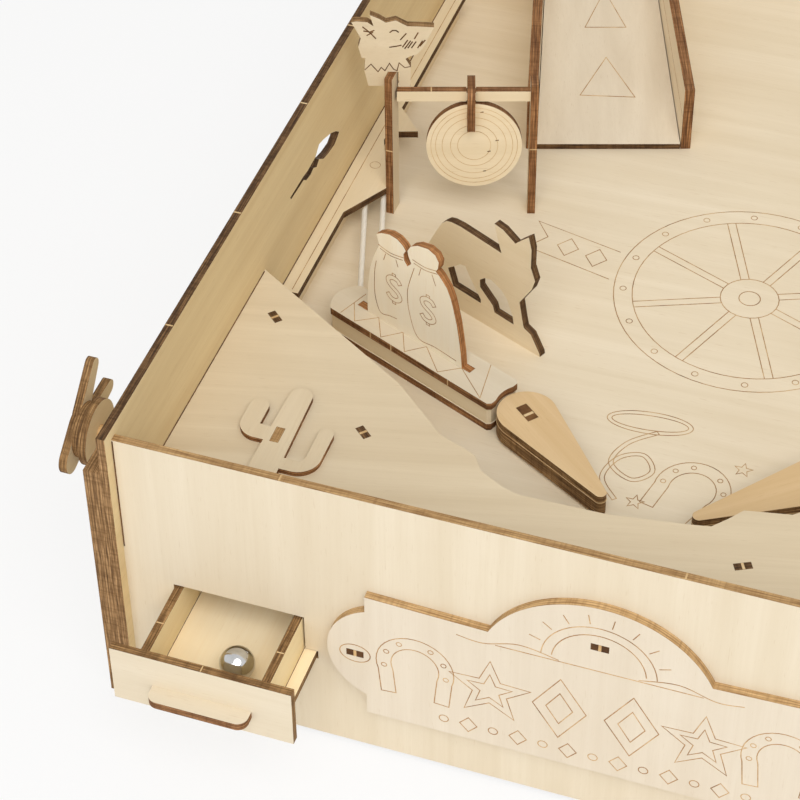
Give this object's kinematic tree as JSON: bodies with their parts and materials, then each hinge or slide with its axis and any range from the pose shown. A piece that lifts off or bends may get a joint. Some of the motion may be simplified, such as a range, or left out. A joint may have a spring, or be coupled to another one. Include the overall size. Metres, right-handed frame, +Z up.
{
  "type": "tabletop pinball kit",
  "caption": "Tabletop pinball of laser-cut plywood with flipper buttons, plunger, ramp, hanging target and ball drawer",
  "frame": {"origin": "on the floor, under the middle of the whole part's box at rest", "axes": "+X to the player's right, +Y away from the player towards the raised back, +Z up"},
  "size_m": [0.398, 0.5166, 0.1815],
  "materials": {
    "birch_ply": "bare laser-cut birch ply with charred edges",
    "dowel_wood": "bare turned dowel",
    "steel": "polished steel",
    "white_elastic": "matt elastic"
  },
  "bodies": {
    "box": {"front_panel": "birch_ply", "back_panel": "birch_ply", "left_wall": "birch_ply", "right_wall": "birch_ply", "front_legs": "birch_ply", "rear_legs": "birch_ply", "playfield": "birch_ply", "deck_beams": "birch_ply", "apron": "birch_ply", "apron_walls": "birch_ply", "cactus_figures": "birch_ply", "sign_board": "birch_ply", "sign_pegs": "birch_ply", "drawer_shelf": "birch_ply", "gutter": "birch_ply", "left_rail": "birch_ply", "lane_divider": "birch_ply", "corner_guides": "birch_ply", "rod_brackets": "birch_ply", "bar_guides": "birch_ply", "plunger_guide": "birch_ply", "left_block": "birch_ply", "right_block": "birch_ply", "bag_figures": "birch_ply", "bison_figures": "birch_ply", "band_pegs": "dowel_wood", "sling_bands": "white_elastic", "wolf_figure": "birch_ply", "gate_posts": "birch_ply", "gate_bar": "birch_ply", "ramp_floor": "birch_ply", "ramp_sides": "birch_ply", "ramp_support": "birch_ply", "left_button_spring": "steel", "right_button_spring": "steel", "plunger_spring": "steel"},
    "drawer": {"drawer_base": "birch_ply", "drawer_sides": "birch_ply", "drawer_back": "birch_ply", "drawer_front": "birch_ply", "drawer_handle": "birch_ply"},
    "ball": {"ball": "steel"},
    "left_button": {"left_button_head": "birch_ply", "left_button_rod": "dowel_wood", "left_button_linkage": "birch_ply"},
    "right_button": {"right_button_head": "birch_ply", "right_button_rod": "dowel_wood", "right_button_linkage": "birch_ply"},
    "left_flipper": {"left_flipper_blades": "birch_ply", "left_flipper_shaft": "dowel_wood", "left_flipper_crank": "birch_ply"},
    "right_flipper": {"right_flipper_blades": "birch_ply", "right_flipper_shaft": "dowel_wood", "right_flipper_crank": "birch_ply"},
    "plunger": {"plunger_rod": "dowel_wood", "plunger_knob": "dowel_wood", "plunger_discs": "birch_ply"},
    "target": {"target_disc": "birch_ply", "target_hanger": "birch_ply"}
  },
  "joints": [
    {"name": "drawer_slide", "type": "slide", "parent": "box", "child": "drawer", "axis": [0, -0.9925, -0.1219], "range_m": [-0.0307, 0.012]},
    {"name": "ball_roll", "type": "slide", "parent": "drawer", "child": "ball", "axis": [1, 0, 0], "range_m": [-0.0194, 0.007]},
    {"name": "left_button_slide", "type": "slide", "parent": "box", "child": "left_button", "axis": [1, 0, 0], "range_m": [0, 0.01225], "stiffness_N_per_m": 250, "springref_m": -0.002, "deforming": ["left_button_spring"]},
    {"name": "right_button_slide", "type": "slide", "parent": "box", "child": "right_button", "axis": [-1, 0, 0], "range_m": [0, 0.01225], "stiffness_N_per_m": 250, "springref_m": -0.002, "deforming": ["right_button_spring"]},
    {"name": "left_flipper_hinge", "type": "hinge", "parent": "box", "child": "left_flipper", "pos_m": [-0.05825, -0.10728, 0.06486], "axis": [0, -0.1219, 0.9925], "range_deg": [0, 45]},
    {"name": "right_flipper_hinge", "type": "hinge", "parent": "box", "child": "right_flipper", "pos_m": [0.04655, -0.10728, 0.06486], "axis": [0, 0.1219, -0.9925], "range_deg": [0, 45]},
    {"name": "plunger_slide", "type": "slide", "parent": "box", "child": "plunger", "axis": [0, -0.9925, -0.1219], "range_m": [0, 0.03], "stiffness_N_per_m": 150, "springref_m": -0.004, "deforming": ["plunger_spring"]},
    {"name": "target_swing", "type": "hinge", "parent": "box", "child": "target", "pos_m": [-0.11603, -0.00139, 0.13348], "axis": [0.9489, 0.3133, 0.0385], "range_deg": [-60, 60]}
  ],
  "couplings": [
    {"joint": "left_flipper_hinge", "follows": "left_button_slide", "rad_per_m": 64.136},
    {"joint": "right_flipper_hinge", "follows": "right_button_slide", "rad_per_m": 64.136}
  ]
}
